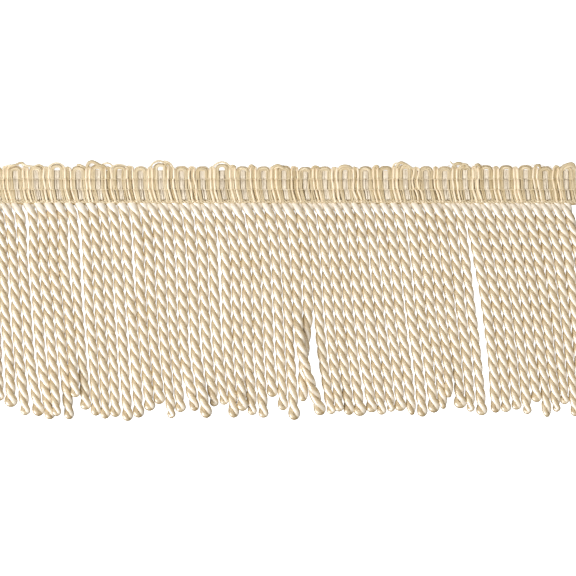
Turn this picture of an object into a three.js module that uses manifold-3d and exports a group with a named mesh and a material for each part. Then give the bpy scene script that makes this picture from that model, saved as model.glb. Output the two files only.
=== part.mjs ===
// Bullion fringe trim: a cut length of upholstery trimming that lies flat, face up.
// It is a woven heading with a row of thick two-ply twisted cords hanging from its lower edge.
// X runs along the trim, +Y points to the heading's looped edge, and Z is up from the surface.
// While it is built, Y is 0 at the heading's lower edge and the cords run down to -Y.

import * as THREE from "three";
import { mergeVertices } from "three/addons/utils/BufferGeometryUtils.js";
import Module from "manifold-3d";

const wasm = await Module();
wasm.setup();

// Driving dimensions, in millimetres and degrees
const archPitch = 6.1; // one arch of the heading's flat yarn, which carries two cords
const leftEnd = -90.6; // the cut end, on the scale that the tables below use
const gap = 0.3; // clearance between neighbouring solids

const grooveLevels = [0.75, 3.95, 7.1]; // three stitch lines, up from the lower edge
const bandCrests = [2.35, 5.5, 8.8]; // the middle of each ribbed band between them
const valleyTop = 10.1; // upper edge between two arches
const legTop = 10.8; // upper edge over an arch's leg
const crownTop = 11.3; // upper edge over an arch's middle
const edgeThick = 1.4;
const valleyThick = 1.9; // between two legs
const legThick = 2.9;
const legInset = 1.83; // from an arch's side to the middle of its leg
const legRise = 0.7; // a leg takes this share of what its arch stands above the even edge
const grooveDip = 0.5; // how deep a stitch line draws in what it crosses
const bandSlants = [0.5, 0.25, 0]; // how far each band's ribs lean sideways below its crest

const cordRadius = 1.38; // from the cord's axis to the crest of a ply
const cordSides = 3;
const crossing = 4.35; // along the cord, from one ply's crossing to the next
const cordStep = 1.74; // along the cord, from one section to the next
const phaseStep = 17; // how far each cord is turned from the one beside it
const rootInset = 0.6; // how far a cord's root lies inside the foot strip
const rootLean = 0.6; // the root lies this far to the left of the first level's place
const tipSwell = 1.06; // the looped end is a little fuller than the cord
const tipSections = 2; // how many sections before the last are as full
const tipTaper = 0.55;

const footDepth = 1.2;
const footThick = 2.0;

// One cord passes over its neighbour in a long low hump.
const overpass = { cord: 29, drop: 38.9, reach: 16, lift: 3.2 };

// How far each arch of the heading stands above the even edge, from the left end
const archRises = [
  0, 0.1, 0.3, 0.2, 0.1, 1.0, 0.3, 0, 1.2, 0, 0, 0.7, 0.1, 0, 0.4,
  -0.4, 0.1, 0.3, 0, 0.2, 1.2, 0.1, 0, 1.0, 0.3, 0.2, 0.3, 0, 0.5,
];

// The cords' routes: X at four levels below the heading, then X and depth of the looped tip
const levels = [4.5, 16.5, 31.5, 46.5];
const cords = [
  // top, upper, lower, deep, tip, length
  [-89.3, -88.2, -87.8, -87.1, -86.3, 59.3],
  [-86.4, -85.3, -84.9, -83.5, -82.9, 61.2],
  [-83.4, -82.4, -81.4, -80.5, -78.5, 63.6],
  [-80.1, -79.4, -78.3, -77.3, -74.5, 63.9],
  [-76.4, -76.1, -75.0, -73.9, -71.5, 64.9],
  [-73.4, -73.2, -71.9, -70.6, -68.7, 63.8],
  [-70.4, -70.3, -68.8, -67.3, -65.4, 64.9],
  [-67.4, -67.3, -65.8, -64.6, -63.1, 58.2],
  [-64.4, -63.7, -62.9, -61.7, -60.1, 62.0],
  [-61.0, -60.1, -59.5, -58.3, -57.4, 63.8],
  [-57.9, -57.1, -56.4, -55.4, -54.7, 64.7],
  [-55.0, -54.1, -53.4, -52.4, -51.6, 64.2],
  [-52.0, -51.2, -50.1, -49.2, -47.9, 65.4],
  [-48.7, -48.1, -46.9, -45.8, -44.6, 64.4],
  [-45.5, -44.5, -43.9, -42.7, -41.3, 62.3],
  [-42.6, -41.4, -40.8, -39.8, -38.4, 60.3],
  [-39.5, -38.3, -37.7, -36.6, -34.8, 64.5],
  [-36.3, -35.2, -34.6, -33.8, -32.0, 62.7],
  [-33.2, -32.0, -31.4, -30.9, -27.7, 62.4],
  [-29.9, -28.7, -28.2, -27.4, -24.1, 64.4],
  [-26.6, -25.5, -25.0, -24.0, -21.7, 61.0],
  [-23.5, -22.4, -21.8, -20.8, -19.0, 60.5],
  [-20.5, -18.8, -18.4, -17.7, -16.1, 64.4],
  [-17.6, -15.7, -15.4, -14.8, -13.4, 62.3],
  [-14.5, -12.7, -12.2, -11.8, -10.6, 63.6],
  [-11.2, -9.7, -9.2, -8.6, -7.2, 64.4],
  [-8.2, -6.8, -6.1, -5.5, -4.5, 58.2],
  [-5.2, -3.7, -2.9, -2.2, -1.4, 62.2],
  [-2.2, -0.8, -0.1, 0.7, 2.0, 65.1],
  [1.0, 2.4, 2.9, 6.6, 10.2, 63.7],
  [4.0, 5.3, 5.8, 3.7, 4.8, 59.5],
  [7.0, 8.1, 9.1, 10.4, 13.2, 63.3],
  [10.1, 11.1, 12.2, 13.6, 15.7, 62.5],
  [13.0, 14.0, 15.1, 16.5, 18.5, 63.6],
  [15.8, 16.9, 18.0, 19.6, 21.8, 63.9],
  [18.6, 19.8, 21.1, 22.8, 25.4, 62.8],
  [21.5, 22.7, 24.2, 26.1, 28.2, 63.5],
  [24.5, 25.9, 27.2, 29.1, 31.0, 62.6],
  [27.4, 28.9, 30.2, 32.2, 33.8, 62.4],
  [30.3, 31.9, 33.3, 35.2, 37.2, 63.6],
  [33.4, 35.0, 36.6, 38.7, 40.4, 64.1],
  [36.6, 38.3, 39.7, 41.9, 43.9, 62.9],
  [39.7, 41.3, 42.7, 44.8, 46.6, 61.8],
  [42.8, 44.2, 45.6, 47.5, 48.9, 58.3],
  [45.7, 47.1, 48.6, 50.4, 51.8, 61.6],
  [48.6, 50.1, 51.7, 53.5, 54.8, 62.6],
  [51.5, 53.1, 54.8, 56.6, 58.2, 63.7],
  [54.4, 56.9, 59.4, 61.2, 62.3, 62.9],
  [57.4, 60.0, 62.4, 64.2, 65.4, 62.7],
  [60.4, 63.1, 65.4, 67.1, 68.6, 62.0],
  [63.4, 66.1, 68.3, 70.0, 71.8, 63.3],
  [66.3, 69.0, 71.2, 72.9, 74.5, 59.7],
  [69.3, 71.9, 74.1, 75.8, 77.7, 64.2],
  [72.4, 74.8, 77.0, 78.7, 80.6, 62.6],
  [75.4, 77.9, 79.9, 81.5, 83.2, 60.3],
  [78.4, 80.9, 82.8, 84.3, 86.3, 63.9],
  [81.4, 84.0, 85.7, 87.1, 89.1, 62.4],
  [84.4, 87.0, 88.6, 90.0, 91.9, 63.0],
];

const rightEnd = leftEnd + archRises.length * archPitch;
const middle = cords.length / 2; // the skirt is parted here into two halves
const weld = 1e-4; // points nearer than this are one point

const yarn = new THREE.MeshStandardMaterial({
  color: 0xdccfb2,
  roughness: 0.55,
  metalness: 0,
});
const flatYarn = new THREE.MeshStandardMaterial({
  color: 0xd8c39c,
  roughness: 0.55,
  metalness: 0,
});

// A closed geometry as a solid that can be joined.
function solidOf(geometry) {
  const merged = mergeVertices(geometry, weld);
  return new wasm.Manifold(
    new wasm.Mesh({
      numProp: 3,
      vertProperties: merged.attributes.position.array,
      triVerts: new Uint32Array(merged.index.array),
    }),
  );
}

// A joined solid as a geometry again.
function geometryOf(solid) {
  const { vertProperties, triVerts } = solid.getMesh();
  const geometry = new THREE.BufferGeometry();
  geometry.setAttribute("position", new THREE.BufferAttribute(vertProperties, 3));
  geometry.setIndex(new THREE.BufferAttribute(triVerts, 1));
  return geometry;
}

// A solid between rings of points that all have the same number of points, closed at both ends.
// Each side is split so that its edge follows the turn of the rings.
function ringSolid(rings) {
  const sides = rings[0].length;
  const positions = rings.flat().flatMap((point) => point.toArray());
  const faces = [];
  for (let ring = 0; ring + 1 < rings.length; ring++) {
    for (let side = 0; side < sides; side++) {
      const next = (side + 1) % sides;
      const here = ring * sides;
      const there = here + sides;
      faces.push(here + side, here + next, there + next);
      faces.push(here + side, there + next, there + side);
    }
  }
  const last = (rings.length - 1) * sides;
  for (let side = 1; side + 1 < sides; side++) {
    faces.push(0, side + 1, side);
    faces.push(last, last + side, last + side + 1);
  }
  const geometry = new THREE.BufferGeometry();
  geometry.setAttribute("position", new THREE.Float32BufferAttribute(positions, 3));
  geometry.setIndex(faces);
  return geometry;
}

// The height of a cord's axis above the surface, at a depth below the heading.
function axisHeight(index, drop) {
  const away = Math.abs(drop - overpass.drop) / overpass.reach;
  if (index !== overpass.cord || away >= 1) return cordRadius;
  return cordRadius + (overpass.lift * (1 + Math.cos(Math.PI * away))) / 2;
}

// How full a cord is at one section, counted back from its tip.
function fullness(sectionsLeft) {
  if (sectionsLeft === 0) return tipTaper;
  return sectionsLeft <= tipSections ? tipSwell : 1;
}

// One cord: a turning section carried along its route, from inside the foot strip to its tip.
function cordSolid([top, upper, lower, deep, tip, length], index) {
  const places = [upper, lower, deep];
  const route = new THREE.CatmullRomCurve3([
    new THREE.Vector3(top - rootLean, -gap - rootInset, 0),
    new THREE.Vector3(top, -levels[0], 0),
    ...places.map((x, level) => new THREE.Vector3(x, -levels[level + 1], 0)),
    new THREE.Vector3(tip, -length, 0),
  ]);
  const steps = Math.round(route.getLength() / cordStep);
  const turn = (2 * Math.PI) / cordSides / crossing;
  const rings = [];
  for (let step = 0; step <= steps; step++) {
    const centre = route.getPointAt(step / steps);
    const along = route.getTangentAt(step / steps);
    const across = new THREE.Vector3(-along.y, along.x, 0);
    const scale = fullness(steps - step);
    const start = THREE.MathUtils.degToRad(index * phaseStep) + turn * centre.y;
    centre.z = axisHeight(index, -centre.y) * Math.max(scale, 1);
    const ring = [];
    for (let side = 0; side < cordSides; side++) {
      const angle = start + (side * 2 * Math.PI) / cordSides;
      const point = centre.clone();
      point.addScaledVector(across, scale * cordRadius * Math.cos(angle));
      point.z += scale * cordRadius * Math.sin(angle);
      ring.push(point);
    }
    rings.push(ring);
  }
  return solidOf(ringSolid(rings));
}

// Half of the skirt: its cords, with their roots fused into one narrow foot strip.
function skirtGeometry(first, last) {
  const parting = (cords[middle - 1][0] + cords[middle][0]) / 2 - rootLean;
  const from = first === 0 ? leftEnd : parting + gap / 2;
  const to = last === cords.length ? rightEnd : parting - gap / 2;
  const foot = new THREE.BoxGeometry(to - from, footDepth, footThick);
  foot.translate((from + to) / 2, -gap - footDepth / 2, footThick / 2);
  foot.deleteAttribute("normal");
  foot.deleteAttribute("uv");
  const joined = cords
    .slice(first, last)
    .map((row, place) => cordSolid(row, first + place))
    .reduce((sum, cord) => sum.add(cord), solidOf(foot));
  return geometryOf(joined);
}

// The heading's section at one station along it, as a ring: up its flat back and down its face.
// A rib is high at a leg of an arch, and low between legs and at the stitch lines.
function headingRing(x, ribThick, top) {
  const ring = [[0, 0, bandSlants[0]], [top, 0, 0], [top, edgeThick, 0]];
  for (let band = grooveLevels.length - 1; band >= 0; band--) {
    ring.push([bandCrests[band], ribThick, 0]);
    ring.push([grooveLevels[band], ribThick - grooveDip, bandSlants[band]]);
  }
  ring.push([0, edgeThick, bandSlants[0]]);
  return ring.map(([y, z, slant]) => new THREE.Vector3(x + slant, y, z));
}

function headingGeometry() {
  const stations = [{ x: 0, thick: valleyThick, top: valleyTop }];
  archRises.forEach((rise, arch) => {
    const start = arch * archPitch;
    const end = start + archPitch;
    const legHeight = legTop + legRise * rise;
    stations.push(
      { x: start + legInset, thick: legThick, top: legHeight },
      { x: (start + end) / 2, thick: valleyThick, top: crownTop + rise },
      { x: end - legInset, thick: legThick, top: legHeight },
      { x: end, thick: valleyThick, top: valleyTop },
    );
  });
  const rings = stations.map(({ x, thick, top }) => headingRing(leftEnd + x, thick, top));
  return geometryOf(solidOf(ringSolid(rings)));
}

const group = new THREE.Group();
const pieces = [
  ["heading", headingGeometry(), flatYarn],
  ["skirt_left", skirtGeometry(0, middle), yarn],
  ["skirt_right", skirtGeometry(middle, cords.length), yarn],
];
const box = new THREE.Box3();
for (const [name, geometry, material] of pieces) {
  const mesh = new THREE.Mesh(geometry, material);
  mesh.name = name;
  group.add(mesh);
  geometry.computeBoundingBox();
  box.union(geometry.boundingBox);
}

// The origin is the middle of the whole trim's footprint, on the surface that it lies on.
const centre = box.getCenter(new THREE.Vector3());
for (const mesh of group.children) mesh.position.set(-centre.x, -centre.y, 0);

export default group;
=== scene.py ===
"""Bullion fringe trim: a cut length of upholstery trimming that lies flat, face up.

Its heading is a woven band: arches of flat tan gimp, white floss inside them, hairpins of thin bright cord
between them, and three rows of stitching. Below it hangs a skirt of thick two-ply cords with looped tips.

Shapes are worked out in millimetres on the trim's own scale, where Y is 0 at the heading's lower edge and
the cords run down to -Y, and are put into the meshes in metres, where the frame's heading says they lie.
"""

import bpy
import numpy as np
from bpy.props import FloatProperty, FloatVectorProperty, IntProperty, PointerProperty
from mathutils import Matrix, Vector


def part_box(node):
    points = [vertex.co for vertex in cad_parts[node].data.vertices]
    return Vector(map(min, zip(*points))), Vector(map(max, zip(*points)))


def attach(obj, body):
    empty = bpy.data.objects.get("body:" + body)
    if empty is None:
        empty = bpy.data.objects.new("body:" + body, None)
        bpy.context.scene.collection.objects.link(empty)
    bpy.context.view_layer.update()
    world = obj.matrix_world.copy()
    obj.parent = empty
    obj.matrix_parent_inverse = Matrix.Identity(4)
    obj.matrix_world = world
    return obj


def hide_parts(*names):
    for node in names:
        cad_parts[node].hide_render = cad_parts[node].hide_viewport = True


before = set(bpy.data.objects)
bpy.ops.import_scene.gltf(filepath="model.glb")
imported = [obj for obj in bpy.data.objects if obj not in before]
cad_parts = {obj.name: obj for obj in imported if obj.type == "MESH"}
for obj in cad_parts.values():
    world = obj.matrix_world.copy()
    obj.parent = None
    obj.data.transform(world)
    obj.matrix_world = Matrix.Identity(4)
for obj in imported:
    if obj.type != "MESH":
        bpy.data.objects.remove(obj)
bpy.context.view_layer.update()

bl_info = {
    "name": "Bullion Fringe Trim",
    "version": (1, 0, 0),
    "blender": (4, 5, 0),
    "location": "View3D > Sidebar > Fringe",
    "description": "Makes a woven heading with a skirt of two-ply bullion cords",
    "category": "Object",
}

HEADING_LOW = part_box("heading")[0]

MM = 0.001
SEED = 7

# The trim's own scale, in millimetres
LEFT_END, RIGHT_END = -90.6, 86.3
GROOVES = (0.75, 3.95, 7.1)  # the three stitch lines, up from the heading's lower edge
PHOTO_MIDDLE = (0.0, -25.5)  # where the middle of the picture lies
PICTURE_WIDTH = 172.8
PLY_TURN = 8.7  # along a cord, one whole turn of its two plies

# The cords' routes: X at four levels below the heading, then X and depth of the looped tip.
# Then the width of the loop as it lies, and how far the tip is lifted by the cord beneath it.
LEVELS = (4.5, 16.5, 31.5, 46.5)
CORDS = (
    # top, upper, lower, deep, tip, length, loop, lift
    (-89.3, -88.2, -87.8, -87.1, -86.3, 59.3, 2.80, 0.0),
    (-86.4, -85.3, -84.9, -83.5, -82.9, 61.2, 3.75, 0.0),
    (-83.4, -82.4, -81.4, -80.5, -78.5, 63.6, 2.80, 0.0),
    (-80.1, -79.4, -78.3, -77.3, -74.4, 63.9, 3.40, 0.0),
    (-76.4, -76.1, -75.0, -73.9, -71.1, 64.9, 2.85, 0.0),
    (-73.4, -73.2, -71.9, -70.6, -69.0, 63.8, 2.55, 1.7),
    (-70.4, -70.3, -68.8, -67.3, -65.4, 64.9, 2.70, 0.0),
    (-67.4, -67.3, -65.8, -64.6, -63.4, 58.2, 2.70, 1.7),
    (-64.4, -63.7, -62.9, -61.7, -60.4, 62.0, 3.30, 0.0),
    (-61.0, -60.1, -59.5, -58.3, -57.4, 63.8, 3.00, 0.0),
    (-57.9, -57.1, -56.4, -55.4, -54.7, 64.7, 2.85, 0.0),
    (-55.0, -54.1, -53.4, -52.4, -51.6, 64.2, 3.00, 0.0),
    (-52.0, -51.2, -50.1, -49.2, -47.9, 65.4, 3.00, 0.0),
    (-48.7, -48.1, -46.9, -45.8, -44.6, 64.4, 3.15, 0.0),
    (-45.5, -44.5, -43.9, -42.7, -41.3, 62.3, 3.20, 0.0),
    (-42.6, -41.4, -40.8, -39.8, -38.4, 60.3, 3.60, 0.0),
    (-39.5, -38.3, -37.7, -36.6, -34.8, 64.5, 2.25, 0.0),
    (-36.3, -35.2, -34.6, -33.8, -32.0, 62.7, 3.00, 0.0),
    (-33.2, -32.0, -31.4, -30.9, -27.7, 62.4, 2.60, 0.0),
    (-29.9, -28.7, -28.2, -27.4, -24.1, 64.4, 3.30, 1.8),
    (-26.6, -25.5, -25.0, -24.0, -21.9, 61.0, 2.40, 0.0),
    (-23.5, -22.4, -21.8, -20.8, -18.9, 60.5, 2.55, 0.0),
    (-20.5, -18.8, -18.4, -17.7, -16.1, 64.4, 3.00, 0.0),
    (-17.6, -15.7, -15.4, -14.8, -13.4, 62.3, 3.45, 0.9),
    (-14.5, -12.7, -12.2, -11.8, -10.6, 63.6, 2.55, 0.0),
    (-11.2, -9.7, -9.2, -8.6, -7.2, 64.4, 2.80, 0.0),
    (-8.2, -6.8, -6.1, -5.5, -4.5, 58.2, 3.05, 0.0),
    (-5.2, -3.7, -2.9, -2.2, -1.4, 62.2, 2.85, 0.0),
    (-2.2, -0.8, -0.1, 0.7, 2.0, 65.1, 3.30, 0.0),
    (1.0, 2.4, 2.8, 4.6, 10.2, 63.7, 3.30, 0.0),
    (4.0, 5.3, 6.0, 4.8, 4.5, 59.5, 2.30, 0.0),
    (7.0, 8.1, 9.1, 10.4, 13.2, 63.3, 2.40, 0.0),
    (10.1, 11.1, 12.2, 13.6, 15.5, 62.5, 2.55, 0.9),
    (13.0, 14.0, 15.1, 16.5, 18.5, 63.6, 3.00, 0.0),
    (15.8, 16.9, 18.0, 19.6, 21.8, 63.9, 3.75, 0.0),
    (18.6, 19.8, 21.1, 22.8, 25.4, 62.8, 3.30, 0.0),
    (21.5, 22.7, 24.2, 26.1, 28.2, 63.5, 2.70, 0.0),
    (24.5, 25.9, 27.2, 29.1, 31.0, 62.6, 2.00, 0.0),
    (27.4, 28.9, 30.2, 32.2, 33.8, 62.4, 3.35, 0.0),
    (30.3, 31.9, 33.3, 35.2, 37.2, 63.6, 1.85, 0.0),
    (33.4, 35.0, 36.6, 38.7, 40.4, 64.1, 2.85, 0.0),
    (36.6, 38.3, 39.7, 41.9, 43.9, 62.9, 3.30, 0.0),
    (39.7, 41.3, 42.7, 44.8, 46.6, 61.8, 1.70, 0.0),
    (42.8, 44.2, 45.6, 47.5, 48.2, 58.3, 1.80, 0.8),
    (45.7, 47.1, 48.6, 50.4, 51.8, 61.6, 3.75, 0.0),
    (48.6, 50.1, 51.7, 53.5, 54.8, 62.6, 2.10, 0.0),
    (51.5, 53.1, 54.8, 56.6, 58.2, 63.7, 3.15, 0.0),
    (54.4, 56.9, 59.4, 61.2, 62.3, 62.9, 2.70, 0.0),
    (57.4, 60.0, 62.4, 64.2, 65.4, 62.7, 2.85, 0.0),
    (60.4, 63.1, 65.4, 67.1, 68.6, 62.0, 2.70, 0.0),
    (63.4, 66.1, 68.3, 70.0, 71.8, 63.3, 2.25, 0.0),
    (66.3, 69.0, 71.2, 72.9, 74.8, 59.7, 3.30, 0.0),
    (69.3, 71.9, 74.1, 75.8, 77.7, 64.2, 2.10, 0.0),
    (72.4, 74.8, 77.0, 78.7, 80.6, 62.6, 1.95, 0.0),
    (75.4, 77.9, 79.9, 81.5, 83.0, 60.3, 2.40, 0.0),
    (78.4, 80.9, 82.8, 84.3, 86.3, 63.9, 2.80, 0.0),
    (81.4, 84.0, 85.7, 87.1, 89.1, 62.4, 2.80, 0.0),
    (84.4, 87.0, 88.6, 90.0, 91.9, 63.0, 2.70, 0.0),
)
ROOT_DEPTH = -0.5  # a cord's own start, inside the heading's lower edge
ROOT_LEAN = 1.6  # the start lies this far to the left of the first level's place

# How the cords are made, in millimetres or as shares
PLY_RADIUS = 0.85  # half the thickness of a ply, for its filaments and its flattened side
LOOP_LENGTH = 0.95  # how far a tip's loop reaches past its start, as a share of its spread
LOOP_STEPS = 16
FLATTENING = 0.66  # the power that flattens the inner half of a ply's section
SLACK_TWIST = 0.3  # how much slower the twist is at the root
SLUB, SLUB_LENGTH = 0.035, 3.1  # thick and thin places along the yarn
ROOT_FULLER = (0.12, 0.15, 0.2)  # how much more the root's plies spread, bulge and widen
ROOT_PRESSED = 0.62  # the root's height, as a share of the cord's
CLEARANCE, OFF_FLOOR = 0.03, 0.02
WHITEST = 0.95  # how far the yarn goes to white in the painted highlight, at the root and along the lower left side of each ply

# One cord passes over its neighbour in a long low hump.
OVERPASS = {"cord": 29, "drop": 46.0, "reach": 17.5, "lift": 2.9}

# How high the middles of the heading's yarns lie, and a stitch line's thread over the floss
YARN_HEIGHT = {"gimp": 2.32, "edge": 2.42, "binder": 2.2, "floss": 2.2, "thread": 1.85, "selvedge": 1.95}

# Where each arch of the heading stands, how far it rises above the even edge, and how far it is open:
# 0 where its strands lie side by side over the top, 1 where they are lifted off as one thin loop
ARCHES = (
    # middle, rise, open
    (-87.5, 0.0, 0.0),
    (-81.5, 0.1, 0.0),
    (-75.4, 0.3, 0.0),
    (-69.1, 1.0, 1.0),
    (-62.7, 0.1, 0.0),
    (-56.9, 0.6, 0.0),
    (-50.5, 0.45, 0.6),
    (-44.1, 0.0, 0.0),
    (-38.2, 1.4, 1.0),
    (-31.8, 0.0, 0.0),
    (-25.6, 0.0, 0.0),
    (-19.7, 1.1, 1.0),
    (-13.5, 0.1, 0.0),
    (-7.3, 0.0, 0.0),
    (-1.2, 0.3, 0.0),
    (5.2, -0.3, 0.0),
    (11.0, 0.0, 0.0),
    (17.1, 0.2, 0.0),
    (23.2, 0.0, 0.0),
    (29.2, 0.2, 0.0),
    (35.1, 0.6, 0.0),
    (41.3, 0.1, 0.0),
    (47.0, 0.0, 0.0),
    (53.0, 0.5, 0.0),
    (59.3, 0.5, 0.4),
    (65.3, 0.5, 0.4),
    (71.1, 0.5, 0.4),
    (77.0, 0.0, 0.0),
    (83.2, 0.4, 0.0),
)

# Yarns that stand out of the heading's upper edge: five points along each, left to right
LOOSE_YARNS = (
    # (across, up) five times, thickness, paleness
    (-84.9, 9.6, -84.2, 11.0, -82.6, 11.2, -81.0, 11.6, -80.2, 12.1, 0.50, 1.0),
    (-84.0, 9.6, -83.2, 10.8, -81.6, 11.3, -79.6, 12.0, -78.4, 10.8, 0.75, 0.3),
    (-80.6, 12.1, -79.4, 11.6, -78.0, 11.0, -76.4, 10.8, -75.0, 9.9, 0.75, 0.8),
    (-76.6, 9.7, -75.8, 10.8, -74.6, 11.3, -73.5, 10.9, -72.9, 9.8, 0.60, 0.3),
    (-71.9, 8.8, -71.3, 11.0, -69.2, 11.9, -67.2, 11.0, -66.6, 8.8, 0.55, 0.8),
    (-63.2, 11.3, -62.5, 11.4, -61.7, 11.0, -60.9, 10.6, -60.0, 10.1, 0.75, 0.3),
    (-60.4, 9.6, -59.8, 11.6, -58.7, 12.3, -57.0, 11.6, -54.8, 10.2, 1.10, 0.2),
    (-57.8, 10.4, -57.0, 11.1, -55.9, 11.2, -54.9, 10.9, -54.2, 10.0, 0.80, 0.1),
    (-56.2, 10.8, -55.2, 11.6, -54.0, 11.85, -52.9, 11.4, -52.2, 10.0, 0.60, 0.8),
    (-53.7, 8.9, -52.7, 10.7, -50.5, 11.4, -48.3, 10.7, -47.4, 8.9, 0.50, 0.7),
    (-41.2, 8.8, -40.8, 11.3, -38.8, 12.5, -36.8, 11.8, -35.8, 9.8, 0.65, 0.6),
    (-37.6, 12.2, -36.9, 12.4, -35.8, 12.1, -34.8, 11.2, -34.3, 9.4, 0.60, 0.6),
    (-37.0, 9.4, -36.8, 11.0, -36.3, 11.7, -35.6, 11.2, -35.3, 9.4, 0.60, 0.1),
    (-22.7, 9.0, -22.1, 11.1, -19.9, 12.2, -17.7, 11.3, -17.0, 9.0, 0.60, 0.7),
    (-17.4, 9.9, -17.0, 10.9, -16.5, 11.1, -15.9, 10.8, -15.7, 9.9, 0.70, 0.2),
    (-14.9, 9.7, -14.4, 10.2, -13.4, 10.4, -12.6, 10.1, -12.2, 9.6, 0.36, 1.0),
    (-11.9, 9.9, -11.4, 11.0, -10.9, 11.2, -10.4, 10.9, -10.1, 9.9, 0.75, 0.2),
    (-5.0, 9.4, -4.2, 10.8, -3.0, 11.2, -1.6, 10.6, -0.2, 9.3, 0.90, 0.2),
    (-4.4, 9.5, -3.8, 10.4, -2.6, 10.7, -1.5, 10.2, -0.6, 9.5, 0.45, 1.0),
    (3.9, 9.4, 4.4, 10.0, 5.1, 10.3, 5.9, 10.0, 6.3, 9.4, 0.50, 1.0),
    (6.9, 9.6, 7.4, 10.6, 8.2, 10.9, 9.1, 10.6, 9.6, 9.6, 0.70, 0.1),
    (14.9, 9.6, 15.8, 10.7, 17.2, 11.0, 18.6, 10.6, 19.3, 9.4, 1.05, 0.3),
    (21.9, 9.6, 22.4, 10.2, 23.2, 10.4, 24.0, 10.1, 24.4, 9.5, 0.40, 1.0),
    (25.6, 9.9, 26.0, 10.9, 26.5, 11.1, 26.9, 10.8, 27.1, 9.9, 0.75, 0.2),
    (31.0, 10.0, 31.6, 11.3, 32.4, 11.9, 33.0, 11.3, 33.3, 10.0, 0.55, 0.8),
    (32.2, 9.8, 33.0, 11.5, 34.0, 12.0, 35.6, 11.2, 37.4, 10.0, 1.00, 0.2),
    (33.6, 9.8, 34.4, 10.9, 35.4, 11.3, 36.6, 10.7, 37.9, 9.7, 0.70, 0.5),
    (48.5, 12.4, 49.0, 11.9, 49.6, 11.3, 50.1, 10.8, 50.6, 10.2, 0.50, 0.5),
    (49.0, 9.8, 49.8, 11.3, 51.0, 11.8, 52.2, 11.3, 53.2, 9.8, 1.05, 0.1),
    (50.8, 9.8, 51.6, 10.9, 52.6, 11.6, 53.6, 11.1, 54.4, 9.8, 0.75, 0.5),
    (56.2, 9.9, 56.3, 11.2, 56.8, 11.4, 57.3, 11.1, 57.4, 9.9, 0.90, 0.0),
    (57.9, 9.6, 58.5, 10.3, 59.3, 10.6, 60.1, 10.3, 60.7, 9.6, 0.40, 1.0),
    (63.9, 9.6, 64.5, 10.3, 65.3, 10.6, 66.1, 10.3, 66.7, 9.6, 0.40, 1.0),
    (69.7, 9.6, 70.3, 10.3, 71.1, 10.6, 71.9, 10.3, 72.5, 9.6, 0.40, 1.0),
    (73.8, 9.9, 74.1, 11.0, 74.7, 11.2, 75.3, 11.0, 75.6, 9.9, 0.85, 0.0),
    (79.4, 9.6, 79.8, 10.7, 80.3, 10.9, 80.9, 10.6, 81.3, 9.5, 0.80, 0.2),
    (81.2, 9.4, 82.4, 10.8, 84.0, 11.6, 85.3, 11.5, 85.9, 9.9, 1.05, 0.3),
    (82.0, 9.4, 83.0, 10.4, 84.2, 10.9, 85.2, 10.8, 85.8, 9.7, 0.80, 0.7),
)
HIGHEST = 12.9  # no loose filament stands higher up the picture
TANGLES = (-82.0, -57.0, -37.0, 34.0, 51.0, 57.0, 75.0, 84.0)  # where most loose filaments are


def linear(hex_colour):
    """An sRGB hex colour as linear red, green, blue and an alpha of 1."""
    parts = np.array([int(hex_colour[i : i + 2], 16) for i in (1, 3, 5)]) / 255
    low = parts <= 0.04045
    return (*np.where(low, parts / 12.92, ((parts + 0.055) / 1.055) ** 2.4), 1.0)


def length_property(name, description, millimetres):
    """A size that a user may change, kept in metres."""
    return FloatProperty(
        name=name,
        description=description,
        default=millimetres * MM,
        min=0.0,
        precision=5,
        unit="LENGTH",
        subtype="DISTANCE",
    )


def colour_property(name, description, hex_colour):
    """A colour that a user may change."""
    return FloatVectorProperty(
        name=name,
        description=description,
        default=linear(hex_colour)[:3],
        min=0.0,
        max=1.0,
        size=3,
        subtype="COLOR",
    )


class FringeCordSizes(bpy.types.PropertyGroup):
    """Sizes of the skirt's two-ply cords."""

    width: length_property("Width", "Across a cord where its plies lie side by side", 3.05)
    waist: length_property("Waist", "Across a cord where one ply lies over the other", 2.06)
    spread: length_property("Ply spread", "From the cord's axis to the middle of a ply", 0.76)
    rows: IntProperty(
        name="Sections",
        description="Sections along each ply",
        default=150,
        min=20,
    )
    sides: IntProperty(name="Sides", description="Points round each ply", default=14, min=6)


class FringeHeadingSizes(bpy.types.PropertyGroup):
    """Sizes of the woven heading."""

    arch_middle: length_property("Arch centre", "Height of an arch's centre up the heading", 8.85)
    gimp_radius: length_property("Gimp", "Half the thickness of one strand of gimp", 0.27)
    edge_radius: length_property("Edge cord", "Half the thickness of the cord between arches", 0.33)
    floss_radius: length_property("Floss", "Half the thickness of one strand of floss", 0.2)
    pinch: length_property("Pinch", "How deep a stitch line draws the yarns in", 0.3)


class FringeColours(bpy.types.PropertyGroup):
    """Colours of the yarns."""

    cord: colour_property("Cord", "The skirt's yarn in even light", "#d3bd90")
    cord_shade: colour_property("Cord shade", "The skirt's yarn in its streaks and creases", "#b49660")
    # The cords' painted highlight colour: it whitens each cord's root and the lower left side of each ply,
    # where the light falls.
    cord_painted_highlight: colour_property("Cord root", "The skirt's yarn at its root and in its white locks", "#ebdec8")
    gimp: colour_property("Gimp", "The heading's flat yarn", "#c8b080")
    edge: colour_property("Edge cord", "The thin bright cord between the arches", "#f9e3be")
    floss: colour_property("Floss", "The white floss inside each arch", "#ebdcc2")
    # The dark tie-bar thread, which also stands in for the painted shade in the pits at the foot of each
    # white patch.
    stitch: colour_property("Stitching", "The dark sewing thread", "#96794e")


def unit(vectors):
    """Vectors of length 1."""
    return vectors / np.maximum(np.linalg.norm(vectors, axis=-1, keepdims=True), 1e-12)


def smooth(value):
    """0 below 0, 1 above 1, and a soft S between."""
    held = np.clip(value, 0, 1)
    return held * held * (3 - 2 * held)


def dot(a, b):
    """The dot product of each pair of vectors, kept as a last axis of one."""
    return np.sum(a * b, axis=-1, keepdims=True)


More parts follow.
